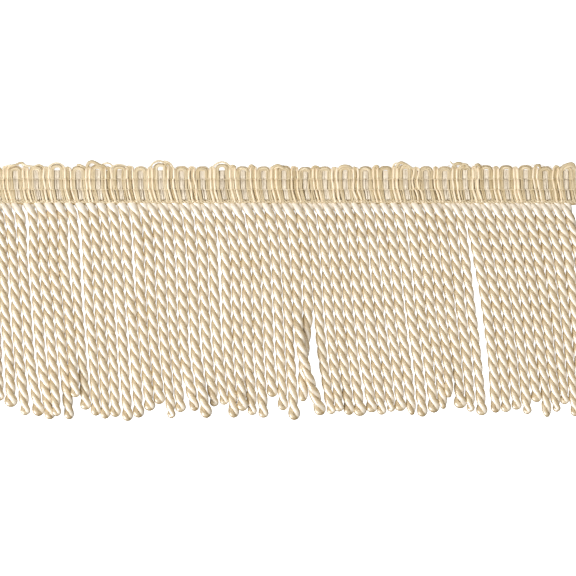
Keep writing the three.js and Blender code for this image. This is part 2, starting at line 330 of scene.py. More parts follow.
def sweep(paths, reference, section):
    """A section carried along each path.

    The section's first axis is the reference direction squared to the path, and its second is the path's
    direction crossed with the first, so a point is path + first * u + second * v.
    """
    along = unit(np.gradient(paths, axis=1))
    first = unit(reference - along * dot(reference, along))
    second = np.cross(along, first)
    u, v = section[..., 0:1], section[..., 1:2]
    return paths[:, :, None] + first[:, :, None] * u + second[:, :, None] * v


def round_section(half_first, half_second, sides):
    """An ellipse as points: cosine times one half-axis, sine times the other."""
    angle = np.linspace(0, 2 * np.pi, sides, endpoint=False)
    halves = np.broadcast_arrays(np.asarray(half_first)[..., None], np.asarray(half_second)[..., None])
    return np.stack([halves[0] * np.cos(angle), halves[1] * np.sin(angle)], axis=-1)


def run_length(paths):
    """How far along its path each point lies: the running sum of the steps."""
    steps = np.linalg.norm(np.diff(paths, axis=1), axis=-1)
    return np.concatenate([np.zeros((len(paths), 1)), np.cumsum(steps, axis=1)], axis=1)


def yarn_places(paths, sides, radius, twist):
    """Each point's place on its own yarn, for the filaments: round the yarn, and along it.

    The first two values go round a circle of the yarn's radius, turned by the twist for each millimetre
    along, so the filaments wind round the yarn with no seam. The third is the length along, and every
    yarn starts at another one.
    """
    along = run_length(paths)[:, :, None] + np.arange(len(paths))[:, None, None] * 53.7
    angle = np.linspace(0, 2 * np.pi, sides, endpoint=False) - twist * along
    spread = np.broadcast_to(along, angle.shape)
    return np.stack([radius * np.cos(angle), radius * np.sin(angle), spread], axis=-1)


def tube_faces(tubes, rows, sides):
    """Corner indices of closed tubes: a quad for each step along and round, and a face over each end."""
    index = np.arange(tubes * rows * sides).reshape(tubes, rows, sides)
    here, there = index[:, :-1], index[:, 1:]
    quads = np.stack(
        [here, np.roll(here, -1, axis=2), np.roll(there, -1, axis=2), there], axis=-1
    ).reshape(-1, 4)
    ends = np.concatenate([index[:, 0, ::-1], index[:, -1]])
    return quads, ends


def strip_map(tubes, rows, sides, columns):
    """A flat map of the tubes: each one is a strip of its own, along one way and round the other."""
    lines = -(-tubes // columns)
    tube = np.arange(tubes)[:, None, None]
    along = np.arange(rows - 1)[None, :, None]
    around = np.arange(sides)[None, None, :]
    margin = 0.06
    corners_u = np.stack([along, along, along + 1, along + 1], axis=-1) / (rows - 1)
    corners_v = np.stack([around, around + 1, around + 1, around], axis=-1) / sides
    u = (tube[..., None] % columns + 0.01 + 0.98 * corners_u) / columns
    v = (tube[..., None] // columns + margin + (1 - 2 * margin) * corners_v) / lines
    u, v = np.broadcast_arrays(u, v)
    first = (tube[:, 0, 0] % columns + 0.01) / columns
    last = (tube[:, 0, 0] % columns + 0.99) / columns
    middle = (tube[:, 0, 0] // columns + 0.5) / lines
    ends_u = np.repeat(np.concatenate([first, last]), sides)
    ends_v = np.repeat(np.concatenate([middle, middle]), sides)
    return np.concatenate(
        [np.stack([u, v], axis=-1).reshape(-1, 2), np.stack([ends_u, ends_v], axis=-1)]
    )


def put_attribute(mesh, name, kind, values):
    """Stores one value, or one vector, for each point."""
    field = "vector" if kind == "FLOAT_VECTOR" else "value"
    attribute = mesh.attributes.new(name, kind, "POINT")
    attribute.data.foreach_set(field, np.ascontiguousarray(values, dtype=np.float32).ravel())


def tube_piece(name, points, yarn, shade, material, replaced, columns=1):
    """Makes one piece from closed tubes of the same number of rows and sides, in the frame's metres."""
    tubes, rows, sides = points.shape[:3]
    quads, ends = tube_faces(tubes, rows, sides)
    mesh = bpy.data.meshes.new(name)
    mesh.vertices.add(tubes * rows * sides)
    mesh.vertices.foreach_set("co", in_frame(points).astype(np.float32).ravel())
    corners = np.concatenate([quads.ravel(), ends.ravel()]).astype(np.int32)
    mesh.loops.add(len(corners))
    mesh.loops.foreach_set("vertex_index", corners)
    starts = np.concatenate(
        [np.arange(len(quads)) * 4, quads.size + np.arange(len(ends)) * sides]
    ).astype(np.int32)
    mesh.polygons.add(len(starts))
    mesh.polygons.foreach_set("loop_start", starts)
    layer = mesh.uv_layers.new(name="OFBake")
    layer.uv.foreach_set("vector", strip_map(tubes, rows, sides, columns).astype(np.float32).ravel())
    put_attribute(mesh, "yarn", "FLOAT_VECTOR", yarn)
    put_attribute(mesh, "shade", "FLOAT", shade)
    mesh.update(calc_edges=True)
    mesh.validate()
    mesh.polygons.foreach_set("use_smooth", np.ones(len(mesh.polygons), dtype=bool))
    mesh.materials.append(material)
    piece = bpy.data.objects.new(name, mesh)
    bpy.context.scene.collection.objects.link(piece)
    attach(piece, "root")
    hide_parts(replaced)
    return piece


def in_frame(points):
    """Points on the trim's own scale, in the frame's metres."""
    origin = np.array([HEADING_LOW.x - LEFT_END * MM, HEADING_LOW.y, 0.0])
    return origin + points * MM


def add(tree, kind, inputs=None, **settings):
    """Adds one node with its settings, its input values and its links."""
    node = tree.nodes.new(kind)
    for key, value in settings.items():
        setattr(node, key, value)
    for key, value in (inputs or {}).items():
        if isinstance(value, bpy.types.NodeSocket):
            tree.links.new(value, node.inputs[key])
        else:
            node.inputs[key].default_value = value
    return node


def new_material(name):
    """An empty material with its output node."""
    material = bpy.data.materials.new(name)
    material.use_nodes = True
    tree = material.node_tree
    tree.nodes.clear()
    return material, tree, add(tree, "ShaderNodeOutputMaterial")


def yarn_material(name, light, dark, roughness, filament, relief, root=None, sheen=0.0, ior=1.9):
    """Lustrous filament yarn: streaks along the filaments in colour, roughness and relief.

    filament is the width of one streak in millimetres. Real filaments are about 0.02 mm thick, too fine to
    show, so a streak stands for a lock of several. The piece's shade attribute mixes in the root colour: on
    the cords that is a painted highlight, and on the heading's yarns a paler tone that differs by yarn.
    """
    shorter = 0.12  # the pattern's scale along a yarn is this share of its scale across
    gloss_range = 0.12  # how much smoother a light streak is, and how much rougher a dark one
    material, tree, output = new_material(name)
    place = add(tree, "ShaderNodeAttribute", attribute_name="yarn", attribute_type="GEOMETRY")
    across, along = 1 / filament, shorter / filament
    stretched = add(
        tree,
        "ShaderNodeMapping",
        {"Vector": place.outputs["Vector"], "Scale": (across, across, along)},
        vector_type="POINT",
    )
    streaks = add(
        tree,
        "ShaderNodeTexNoise",
        {"Vector": stretched.outputs[0], "Scale": 1.0, "Detail": 2.0, "Roughness": 0.6},
    )
    drift = add(
        tree,
        "ShaderNodeTexNoise",
        {"Vector": place.outputs["Vector"], "Scale": 0.22, "Detail": 1.0},
    )
    share = add(
        tree,
        "ShaderNodeMapRange",
        {"Value": streaks.outputs[0], "From Min": 0.36, "From Max": 0.66},
    )
    slow = add(
        tree,
        "ShaderNodeMapRange",
        {"Value": drift.outputs[0], "From Min": 0.3, "From Max": 0.7, "To Min": -0.2, "To Max": 0.2},
    )
    both = add(
        tree,
        "ShaderNodeMath",
        {0: share.outputs[0], 1: slow.outputs[0]},
        operation="ADD",
        use_clamp=True,
    )
    colour = add(
        tree,
        "ShaderNodeMix",
        {"Factor": both.outputs[0], "A": dark, "B": light},
        data_type="RGBA",
    ).outputs[2]
    # The shade attribute mixes in the root colour: on the cords a painted highlight, on the heading's yarns a
    # paler tone by yarn.
    if root is not None:
        whiter = add(tree, "ShaderNodeAttribute", attribute_name="shade", attribute_type="GEOMETRY")
        colour = add(
            tree,
            "ShaderNodeMix",
            {"Factor": whiter.outputs["Fac"], "A": colour, "B": root},
            data_type="RGBA",
        ).outputs[2]
    rough = add(
        tree,
        "ShaderNodeMapRange",
        {
            "Value": streaks.outputs[0],
            "To Min": roughness + gloss_range,
            "To Max": roughness - gloss_range,
        },
    )
    bump = add(
        tree,
        "ShaderNodeBump",
        {"Height": streaks.outputs[0], "Strength": 1.0, "Distance": relief * MM},
    )
    shader = add(
        tree,
        "ShaderNodeBsdfPrincipled",
        {
            "Base Color": colour,
            "Roughness": rough.outputs[0],
            "Normal": bump.outputs[0],
            "IOR": ior,
            "Specular IOR Level": 1.0,
            "Sheen Weight": sheen,
            "Sheen Roughness": 0.4,
        },
    )
    tree.links.new(shader.outputs[0], output.inputs["Surface"])
    return material


def solid(colour):
    """A property's colour with an alpha of 1."""
    return (*colour, 1.0)


def viscose_cord():
    """Viscose filament yarn, plied: soft gloss in bands along each ply, and deeper tan in its streaks.

    A painted highlight makes it nearly white at its root and along the lower left side of each ply,
    where the light from the lower left falls.
    """
    colours = bpy.context.scene.fringe_colours
    return yarn_material(
        "viscose cord yarn",
        solid(colours.cord),
        solid(colours.cord_shade),
        roughness=0.42,
        filament=0.24,
        relief=0.05,
        root=solid(colours.cord_painted_highlight),
        sheen=0.1,
    )


def viscose_gimp():
    """Flat viscose gimp, tightly laid: duller than the cord, with fine streaks along each strand."""
    colours = bpy.context.scene.fringe_colours
    light = solid(colours.gimp)
    dark, pale = linear("#b7a176"), linear("#ecdbb9")
    return yarn_material(
        "viscose gimp", light, dark, roughness=0.58, filament=0.26, relief=0.05, root=pale, ior=1.45
    )


def bright_edge_cord():
    """Thin covered cord, wound tight and shiny, so that it shows as a bright line."""
    colours = bpy.context.scene.fringe_colours
    light = solid(colours.edge)
    dark, pale = linear("#e8cfa5"), linear("#fdeed6")
    return yarn_material(
        "covered edge cord", light, dark, roughness=0.5, filament=0.15, relief=0.02, root=pale, ior=1.5
    )


def white_floss():
    """Untwisted viscose floss: parallel filaments with a silky gloss, white with grey streaks."""
    colours = bpy.context.scene.fringe_colours
    light = solid(colours.floss)
    dark, pale = linear("#a99676"), linear("#eee0c8")
    return yarn_material(
        "viscose floss", light, dark, roughness=0.42, filament=0.22, relief=0.05, root=pale, ior=1.55
    )


def sewing_thread_and_pit_shade():
    """Matt spun polyester sewing thread, brown, sunk between the yarns that it ties down; dark also as
    painted shade in the pits.
    """
    colours = bpy.context.scene.fringe_colours
    light = solid(colours.stitch)
    dark = linear("#735832")
    return yarn_material(
        "spun sewing thread and pit shade", light, dark, roughness=0.7, filament=0.12, relief=0.02, ior=1.4
    )


def ground_weave():
    """Cotton ground weave: matt warp ribs 0.5 mm apart that the fine weft crosses every 0.35 mm."""
    rib, pick, depth = 0.5 * MM, 0.35 * MM, 0.1 * MM
    period = 0.314  # a wave texture repeats at this distance when its scale is 1
    material, tree, output = new_material("cotton ground weave")
    place = add(tree, "ShaderNodeTexCoord")
    warp = add(
        tree,
        "ShaderNodeTexWave",
        {"Vector": place.outputs["Object"], "Scale": period / rib, "Distortion": 0.6},
        bands_direction="X",
    )
    weft = add(
        tree,
        "ShaderNodeTexWave",
        {"Vector": place.outputs["Object"], "Scale": period / pick, "Distortion": 0.4},
        bands_direction="Y",
    )
    height = add(
        tree,
        "ShaderNodeMath",
        {0: warp.outputs["Fac"], 1: weft.outputs["Fac"]},
        operation="MULTIPLY",
    )
    # Painted shade: the weave is a darker tan where it is low, in the hollows between warp and weft.
    colour = add(
        tree,
        "ShaderNodeMix",
        {"Factor": height.outputs[0], "A": linear("#c6ab7b"), "B": linear("#e8dabb")},
        data_type="RGBA",
    )
    bump = add(
        tree,
        "ShaderNodeBump",
        {"Height": height.outputs[0], "Strength": 1.0, "Distance": depth},
    )
    shader = add(
        tree,
        "ShaderNodeBsdfPrincipled",
        {"Base Color": colour.outputs[2], "Roughness": 0.85, "Normal": bump.outputs[0]},
    )
    tree.links.new(shader.outputs[0], output.inputs["Surface"])
    return material


CORD_TABLE = np.array(CORDS)
CORD_KNOTS = np.concatenate([CORD_TABLE[:, :1] - ROOT_LEAN, CORD_TABLE[:, :5]], axis=1)
CORD_DEPTHS = np.concatenate(
    [
        np.full((len(CORDS), 1), ROOT_DEPTH),
        np.broadcast_to(LEVELS, (len(CORDS), len(LEVELS))),
        CORD_TABLE[:, 5:6],
    ],
    axis=1,
)


def knot_slopes():
    """At each point of a route, the slope of the line between the points before and after it."""
    slopes = np.empty_like(CORD_KNOTS)
    slopes[:, 1:-1] = (CORD_KNOTS[:, 2:] - CORD_KNOTS[:, :-2]) / (CORD_DEPTHS[:, 2:] - CORD_DEPTHS[:, :-2])
    first, last = CORD_DEPTHS[:, 1] - CORD_DEPTHS[:, 0], CORD_DEPTHS[:, -1] - CORD_DEPTHS[:, -2]
    slopes[:, 0] = (CORD_KNOTS[:, 1] - CORD_KNOTS[:, 0]) / first
    slopes[:, -1] = (CORD_KNOTS[:, -1] - CORD_KNOTS[:, -2]) / last
    return slopes


def route(cords, depths):
    """Where each cord lies sideways at each depth: a cubic between its route's points and slopes."""
    knots, levels, slopes = CORD_KNOTS[cords], CORD_DEPTHS[cords], knot_slopes()[cords]
    segment = np.sum(depths[..., None] >= levels[:, None, 1:-1], axis=-1)

    def at(table, step):
        return np.take_along_axis(table, segment + step, axis=1)

    wide = at(levels, 1) - at(levels, 0)
    t = (depths - at(levels, 0)) / wide
    start = (2 * t**3 - 3 * t**2 + 1) * at(knots, 0) + (t**3 - 2 * t**2 + t) * wide * at(slopes, 0)
    end = (3 * t**2 - 2 * t**3) * at(knots, 1) + (t**3 - t**2) * wide * at(slopes, 1)
    return start + end


def height(cords, depths, radius):
    """How high each cord's axis lies at each depth: its own radius, the hump, and its lifted tip."""
    lengths, lifts = CORD_TABLE[cords, 5:6], CORD_TABLE[cords, 7:8]
    away = np.clip(np.abs(depths - OVERPASS["drop"]) / OVERPASS["reach"], 0, 1)
    hump = OVERPASS["lift"] * (1 + np.cos(np.pi * away)) / 2
    over = (np.asarray(cords) == OVERPASS["cord"])[:, None]
    lift_from, lift_to = 15.0, 3  # from the tip: where it starts to rise, and where it is up
    return radius + over * hump + lifts * smooth((depths - lengths + lift_from) / (lift_from - lift_to))


def half_width(cords, depths, usual):
    """Half of each cord's width at each depth: the usual one, its loop's near the tip, none past it."""
    lengths, loops = CORD_TABLE[cords, 5:6], CORD_TABLE[cords, 6:7]
    loop_from, loop_over, end_over, least = 5, 3, 1.2, 0.9
    near = smooth((depths - lengths + loop_from) / loop_over)
    there = smooth((lengths - depths) / end_over + 0.5)
    return (usual * (1 - near) + np.maximum(loops / 2, least) * near) * there


def crowding(cords, depths, radius):
    """How much of its usual width each cord keeps on its left and on its right at each depth.

    Where a neighbour's axis is nearer than the two half widths, both give way in the same share.
    """
    narrowest = 0.6
    x, z = route(cords, depths), height(cords, depths, radius)
    own = half_width(cords, depths, radius)
    keep = {"left": np.ones_like(x), "right": np.ones_like(x)}
    for offset in (-2, -1, 1, 2):
        other = np.clip(cords + offset, 0, len(CORDS) - 1)
        held = np.minimum(depths, CORD_TABLE[other, 5:6])
        gap = np.hypot(route(other, held) - x, height(other, held, radius) - z)
        need = own + half_width(other, depths, radius)
        share = np.clip(gap / np.maximum(need, 1e-6), narrowest, 1)
        share = np.where((other == cords)[:, None], 1.0, share)
        side = route(other, held) > x
        keep["right"] = np.where(side, np.minimum(keep["right"], share), keep["right"])
        keep["left"] = np.where(side, keep["left"], np.minimum(keep["left"], share))
    return keep["left"], keep["right"]


def tip_shape(cords):
    """Each tip's loop: how far its sides stand from the axis, its turn, and its yarn's half thickness.

    A loop that lies flat shows its whole width. A narrow one is turned on edge, so that the cosine of its
    turn times the spread, plus the half thickness, gives half of the width.
    """
    fuller = 0.14  # for the yarn's soft outline, which the measured width leaves out
    thick_share, thinnest, thickest = 0.54, 0.8, 1.05
    closest, flattest = 0.62, 0.97
    half = CORD_TABLE[cords, 6] / 2 + fuller
    thick = np.clip(half * thick_share, thinnest, thickest)
    shown = np.maximum(half - thick, 0)
    spread = np.maximum(closest, shown / flattest)
    turn = np.arccos(np.clip(shown / spread, 0, 1))
    return spread, turn, thick


def cord_group(cords, rng, sizes):
    """Two-ply cords: each is one yarn that runs down as a helix, round the tip, and back up.

    At a length s along its axis, a ply's centre is axis + spread * (cos(a) * across + sin(a) * up). The
    angle a falls by a whole turn in each ply turn, so that the plies in front run down to the right. Near
    the tip the spread grows to the loop's, and half an ellipse, twisted on at the same rate, closes the
    loop. The section is an ellipse whose inner half is flattened against the other ply: there a power of
    the cosine takes the cosine's place. At the root the cord is a little fuller, and pressed flat.

    Each ply has a painted highlight along one side, the lower left one as seen from above, where the
    light from the lower left falls: the shade is a soft step in the sine of the angle round the section,
    with its sign changed past the tip. The root's whiteness is painted highlight as well.
    """
    radius = sizes.width / MM / 2
    spread, waist = sizes.spread / MM, sizes.waist / MM / 2
    rows, sides = sizes.rows, sizes.sides
    count = len(cords)
    tip_spread, tip_turn, tip_thick = tip_shape(cords)
    tip_long = tip_spread * LOOP_LENGTH
    lengths = CORD_TABLE[cords, 5]
    ends = lengths - tip_long - tip_thick
    share = np.linspace(0, 1, rows)
    depths = ROOT_DEPTH + share * (ends - ROOT_DEPTH)[:, None]
    x, z = route(cords, depths), height(cords, depths, radius + CLEARANCE)
    axis = np.stack([x, -depths, z], axis=-1)
    forward = unit(np.gradient(axis, axis=1))
    across = unit(np.stack([-forward[..., 1], forward[..., 0], np.zeros_like(x)], axis=-1))
    up = np.cross(forward, across)

    along = run_length(axis)
    left = along[:, -1:] - along
    rate = 1 - SLACK_TWIST * (1 - smooth((along - 1) / 4))
    steps = np.diff(along, axis=1) * (rate[:, 1:] + rate[:, :-1]) / 2 * 2 * np.pi / PLY_TURN
    turned = np.concatenate([np.zeros((count, 1)), np.cumsum(steps, axis=1)], axis=1)
    mirrored = np.where(rng.random(count) < 0.5, -1, 1)
    tip_angle = tip_turn * mirrored
    root_angle = 0.5 + np.cumsum(rng.normal(0, 0.16, count)) + rng.normal(0, 0.12, count)
    half_turns = np.round((turned[:, -1] - root_angle + tip_angle) / np.pi)
    total = half_turns * np.pi + root_angle - tip_angle
    angle = root_angle[:, None] - turned * (total / turned[:, -1])[:, None]

    slub = 1 + SLUB * np.sin(along / SLUB_LENGTH + rng.uniform(0, 6, (count, 1)))
    slub = slub * (1 + rng.normal(0, 0.02, (count, 1)))
    to_tip = smooth((2.6 - left) / 2.0)
    to_root = 1 - smooth((along - 0.5) / 3.5)
    ply_spread = spread * slub * (1 - to_tip) + tip_spread[:, None] * to_tip
    outer = (radius - spread) * slub * (1 - to_tip) + tip_thick[:, None] * to_tip
    tangent = waist * slub * (1 - to_tip) + tip_thick[:, None] * to_tip
    ply_spread = ply_spread * (1 + ROOT_FULLER[0] * to_root)
    outer = outer * (1 + ROOT_FULLER[1] * to_root)
    tangent = tangent * (1 + ROOT_FULLER[2] * to_root)
    inner = np.minimum(ply_spread - 0.02, PLY_RADIUS)

    aside = np.cos(angle)[..., None] * across + np.sin(angle)[..., None] * up
    turn = np.linspace(0, np.pi, LOOP_STEPS + 1)[1:-1]
    beyond = tip_long[:, None] * np.sin(turn)
    end_angle = (angle[:, -1:] - beyond * 2 * np.pi / PLY_TURN)[..., None]
    end_aside = np.cos(end_angle) * across[:, -1:] + np.sin(end_angle) * up[:, -1:]
    end_out = unit(np.cos(turn)[:, None] * end_aside + np.sin(turn)[:, None] * forward[:, -1:])
    end_offset = (tip_spread[:, None] * np.cos(turn))[..., None] * end_aside
    end_path = axis[:, -1:] + end_offset + beyond[..., None] * forward[:, -1:]
    offset = ply_spread[..., None] * aside
    paths = np.concatenate([axis + offset, end_path, (axis - offset)[:, ::-1]], axis=1)
    outward = np.concatenate([aside, end_out, -aside[:, ::-1]], axis=1)

    def whole(values, end_values):
        middle = np.broadcast_to(end_values[:, None], (count, len(turn)))
        return np.concatenate([values, middle, values[:, ::-1]], axis=1)

    outer, tangent = whole(outer, tip_thick), whole(tangent, tip_thick)
    inner = whole(inner, np.minimum(tip_long - 0.04, PLY_RADIUS))
    section = round_section(np.ones_like(outer), tangent, sides)
    facing = section[..., 0]
    flattened = np.sign(facing) * np.abs(facing) ** FLATTENING
    section[..., 0] = np.where(facing > 0, facing * outer[..., None], flattened * inner[..., None])
    points = sweep(paths, outward, section)

    centre = whole_axis(axis, len(turn))
    sideways = whole_axis(across, len(turn))
    keep_left, keep_right = crowding(cords, depths, radius)
    keep_left = whole(keep_left, keep_left[:, -1])
    keep_right = whole(keep_right, keep_right[:, -1])
    reach = dot(points - centre[:, :, None], sideways[:, :, None])
    keep = np.where(reach > 0, keep_right[..., None, None], keep_left[..., None, None])
    points = points + sideways[:, :, None] * reach * (keep - 1)
    low = points[..., 2].min(axis=2, keepdims=True)
    points[..., 2] += np.maximum(OFF_FLOOR - low, 0)
    pressed = ROOT_PRESSED + (1 - ROOT_PRESSED) * smooth((along + 0.1) / 3.4)
    points[..., 2] *= whole(pressed, pressed[:, -1])[..., None]

    yarn = yarn_places(paths, sides, PLY_RADIUS, twist=-0.3)
    # Painted highlight: whiter at the root, and along the lower left side of each ply.
    whiter = whole(root_painted_highlight(along), np.zeros(count))
    whole_rows = paths.shape[1]
    direction = np.linspace(whole_rows / 12, -whole_rows / 12, whole_rows)
    side = np.clip(direction, -1, 1)[:, None] * section[..., 1] / tangent[..., None]
    side_painted_highlight = WHITEST * smooth((side - 0.1) / 0.75)
    shade = np.maximum(whiter[..., None], side_painted_highlight)
    return points, yarn, shade


def whole_axis(vectors, extra):
    """The axis's vectors for a whole yarn: down the cord, held round the tip, and back up."""
    held = np.repeat(vectors[:, -1:], extra, axis=1)
    return np.concatenate([vectors, held, vectors[:, ::-1]], axis=1)


def root_painted_highlight(along):
    """How far the painted highlight whitens a cord at each length: all white at its root, and its own colour
    past a few mm.
    """
    return WHITEST * (1 - smooth((along - 1.6) / 3.0))


class FRINGE_OT_skirt_cords(bpy.types.Operator):
    """Make the skirt: four groups of two-ply cords with looped tips"""

    bl_idname = "fringe.skirt_cords"
    bl_label = "Skirt Cords"

    def execute(self, context):
        rng = np.random.default_rng(SEED)
        material = viscose_cord()
        groups = (
            ("skirt_cords_1", range(0, 15), "skirt_left"),
            ("skirt_cords_2", range(15, 29), "skirt_left"),
            ("skirt_cords_3", range(29, 44), "skirt_right"),
            ("skirt_cords_4", range(44, 58), "skirt_right"),
        )
        for name, cords, node in groups:
            points, yarn, shade = cord_group(np.array(cords), rng, context.scene.fringe_cords)
            tube_piece(name, points, yarn, shade, material, node)
        return {"FINISHED"}


ARCH_TABLE = np.array(ARCHES)


def pinch(y):
    """How far the yarns are drawn in: 1 at a stitch line, and 0 from halfway to the next line."""
    away = np.min(np.abs(y[..., None] - np.array(GROOVES)), axis=-1)
    return (1 - np.clip(away / 1.4, 0, 1)) ** 2.5


def slant(y, offset):
    """How far a yarn lies to the right at each height, from how far it is from its arch's middle.

    The outer yarns lean a little in the middle band and more in the lower one. The white patches stand
    upright and step aside at the second stitch line. The yarns between do a share of each.
    """
    lower = np.clip((GROOVES[1] - y) / (GROOVES[1] - GROOVES[0]), 0, 1.3)
    middle = np.clip((GROOVES[2] - y) / (GROOVES[2] - GROOVES[1]), 0, 1)
    outside = 0.3 * middle + 0.9 * lower
    inside = 0.05 * middle + 0.4 * smooth((GROOVES[1] + 0.2 - y) / 0.4) + 0.35 * lower
    share = np.clip(np.abs(offset) / 2.3, 0, 1)
    return outside * share + inside * (1 - share)


def waver(y, rng, size):
    """Sideways unevenness of the weaving, of its own for each yarn.

    It is a cosine of the height at any phase, and a small step to one side at each of the upper two stitch
    lines.
    """
    phase = rng.uniform(0, 2 * np.pi, (len(y), 1))
    tall, second, third = rng.normal(0, size, (3, len(y), 1))
    steps = second * smooth((GROOVES[1] - y) / 0.4 + 0.5) + third * smooth((GROOVES[2] - y) / 0.4 + 0.5)
    return tall * np.cos(y / 1.15 + phase) + 1.5 * steps


def arch_paths(middles, reach, centre, foot, crown=None, square=0.72):
    """Inverted U shapes: straight up one side, over half of a squarish ellipse, and down the other side.

    middles, centre and reach give each U's middle line, the height of its half ellipse's centre and its
    half width, and crown its height above the centre. The half ellipse is the cosine and the sine, each
    to a power below one, which makes it squarer.
    """
    crown = reach if crown is None else crown
    middles, reach, centre, crown = (
        np.asarray(v, float).reshape(-1, 1) for v in (middles, reach, centre, crown)
    )
    rise = np.linspace(0, 1, 34)[None, :]
    up = foot + rise * (centre - foot)
    turn = np.linspace(np.pi, 0, 21)[1:-1][None, :]
    arc_x = reach * np.sign(np.cos(turn)) * np.abs(np.cos(turn)) ** square
    arc_y = centre + crown * np.sin(turn) ** square
    ones = np.ones_like(up)
    offset = np.concatenate([-reach * ones, arc_x, reach * ones], axis=1)
    y = np.concatenate([up, arc_y, up[:, ::-1]], axis=1)
    return middles, offset, y


def heading_tubes(x, y, z, half_wide, half_thick, sides):
    """Yarns of the heading from their middle lines: flat ellipses that lie level, thinner where pinched."""
    paths = np.stack([x, y, z], axis=-1)
    level = np.broadcast_to([0.0, 0.0, 1.0], paths.shape)
    drawn = pinch(y)
    section = round_section(half_thick * (1 - 0.3 * drawn), half_wide * (1.05 - 0.25 * drawn), sides)
    return sweep(paths, level, section), paths


def yarn_piece(name, points, paths, material, radius, columns=1, twist=0.0, tones=None):
    """A piece of the heading made of yarn; tones says how pale each yarn is, from 0 to 1."""
    yarn = yarn_places(paths, points.shape[2], radius, twist)
    tones = np.zeros((1, 1)) if tones is None else np.asarray(tones).reshape(len(points), -1)
    shade = np.broadcast_to(tones[:, :, None], points.shape[:3])
    return tube_piece(name, points, yarn, shade, material, "heading", columns)


def between_arches():
    """Where two arches meet: the middle lines of the yarns there."""
    middles = ARCH_TABLE[:, 0]
    return (middles[1:] + middles[:-1]) / 2


def gimp(sizes, rng):
    """Arches of flat gimp: three strands side by side in each, that just run into one another.

    Over the top of an arch the strands fall away outwards, so that it is rounded like a bead. In an open
    arch they draw together to one thin loop.
    """
    middles, rises, opened = (np.repeat(column, 3) for column in ARCH_TABLE.T)
    strand = np.tile([-1, 0, 1], len(ARCHES))
    reach = 1.45 + 0.4 * strand + rng.normal(0, 0.03, len(strand))
    crown = reach * (1 - opened) + (1.5 + 0.24 * strand) * opened
    centre = sizes.arch_middle / MM + 0.7 * rises
    middles, offset, y = arch_paths(middles, reach, centre, 0.35, crown)
    x = middles + offset + slant(y, offset) + waver(y, rng, 0.05)
    over = smooth((y - centre[:, None]) / 1.6)
    fall = np.array([0.0, 0.08, 0.4])[strand + 1][:, None] * over
    z = YARN_HEIGHT["gimp"] - sizes.pinch / MM * pinch(y) - fall
    wide = sizes.gimp_radius / MM * (1 + rng.normal(0, 0.06, (len(strand), 1)))
    points, paths = heading_tubes(x, y, z, wide, 0.36, 8)
    paler = np.array([0.45, 0.4, 0.0])[strand + 1][:, None] * over
    tones = np.clip(rng.normal(0.25, 0.22, (len(strand), 1)) + paler, 0, 1)
    return yarn_piece("heading_gimp", points, paths, viscose_gimp(), 0.35, 3, 0.5, tones)


def edge_cord(sizes, rng):
    """Hairpins of bright cord in each gap between two arches, one leg along each arch.

    A leg lies as far from its own arch's middle, so the hairpin is as wide as the gap. Its top leans up
    towards the left arch.
    """
    places = between_arches()
    reach = np.diff(ARCH_TABLE[:, 0]) / 2 - 2.36
    top = 10.15 + rng.normal(0, 0.12, len(places))
    places, offset, y = arch_paths(places, reach, top, 0.2, np.full(len(places), 0.45), 0.8)
    y = y - 0.12 * (y > top[:, None] - 0.3) * offset / 0.7
    x = places + offset + slant(y, 2.3) + waver(y, rng, 0.09)
    z = YARN_HEIGHT["edge"] - 0.9 * sizes.pinch / MM * pinch(y) - 0.35 * smooth((y - 9.6) / 1.0)
    radius = sizes.edge_radius / MM * (1 + rng.normal(0, 0.07, (len(places), 1)))
    points, paths = heading_tubes(x, y, z, radius, radius, 10)
    tones = rng.uniform(0, 0.5, len(places))
    return yarn_piece("heading_edge_cord", points, paths, bright_edge_cord(), 0.32, 2, 2.5, tones)


def binder(rng):
    """A hairpin of duller gimp in each gap between two arches, that ends in a small knob at the top."""
    places = np.concatenate([[LEFT_END + 0.3], between_arches(), [RIGHT_END - 0.6]])
    top = 10.35 + rng.normal(0, 0.1, len(places))
    reach = np.full(len(places), 0.2)
    places, offset, y = arch_paths(places, reach, top, 0.3)
    x = places + offset + slant(y, 2.3) + waver(y, rng, 0.05)
    z = YARN_HEIGHT["binder"] - 0.3 * pinch(y) - 0.25 * smooth((GROOVES[1] - y) / 1.5)
    wide = 0.24 + 0.06 * smooth((y - 9.6) / 0.8)
    points, paths = heading_tubes(x, y, z, wide, 0.34, 8)
    tones = np.clip(rng.normal(0.3, 0.3, len(places)), 0, 1)
    return yarn_piece("heading_binder", points, paths, viscose_gimp(), 0.3, 2, 0.5, tones)


def floss(sizes, rng):
    """Four strands of white floss that lie low inside each arch, drawn in hard at each stitch line."""
    middles, rises, opened = (np.repeat(column, 4) for column in ARCH_TABLE.T)
    offset = np.tile([-0.54, -0.18, 0.18, 0.54], len(ARCHES))[:, None]
    top = (sizes.arch_middle / MM + 0.75 + 0.5 * rises * (1 - opened) + 0.15 * opened)[:, None]
    y = 0.95 + np.linspace(0, 1, 40)[None, :] * (top - 0.95)
    x = middles[:, None] + offset + slant(y, offset) + waver(y, rng, 0.03)
    z = YARN_HEIGHT["floss"] - 0.32 * pinch(y)
    radius = sizes.floss_radius / MM
    points, paths = heading_tubes(x, y, z, radius, radius * 1.2, 8)
    tones = rng.uniform(0, 1, len(points))
    return yarn_piece("heading_floss", points, paths, white_floss(), radius, 4, 0.2, tones)


def surface_height(x, level):
    """How high the heading's yarns stand at a stitch line: high on the gimp and low on the floss."""
    lean = slant(np.full(x.shape, level), np.full(x.shape, 2.0))
    away = np.min(np.abs(x[..., None] - ARCH_TABLE[:, 0] - lean[..., None]), axis=-1)
    on_gimp = smooth((away - 0.5) / 0.3) * (1 - smooth((away - 2.0) / 0.3))
    on_edge = smooth((away - 2.0) / 0.2) * (1 - smooth((away - 2.75) / 0.2))
    return YARN_HEIGHT["thread"] + 0.42 * on_gimp + 0.6 * on_edge


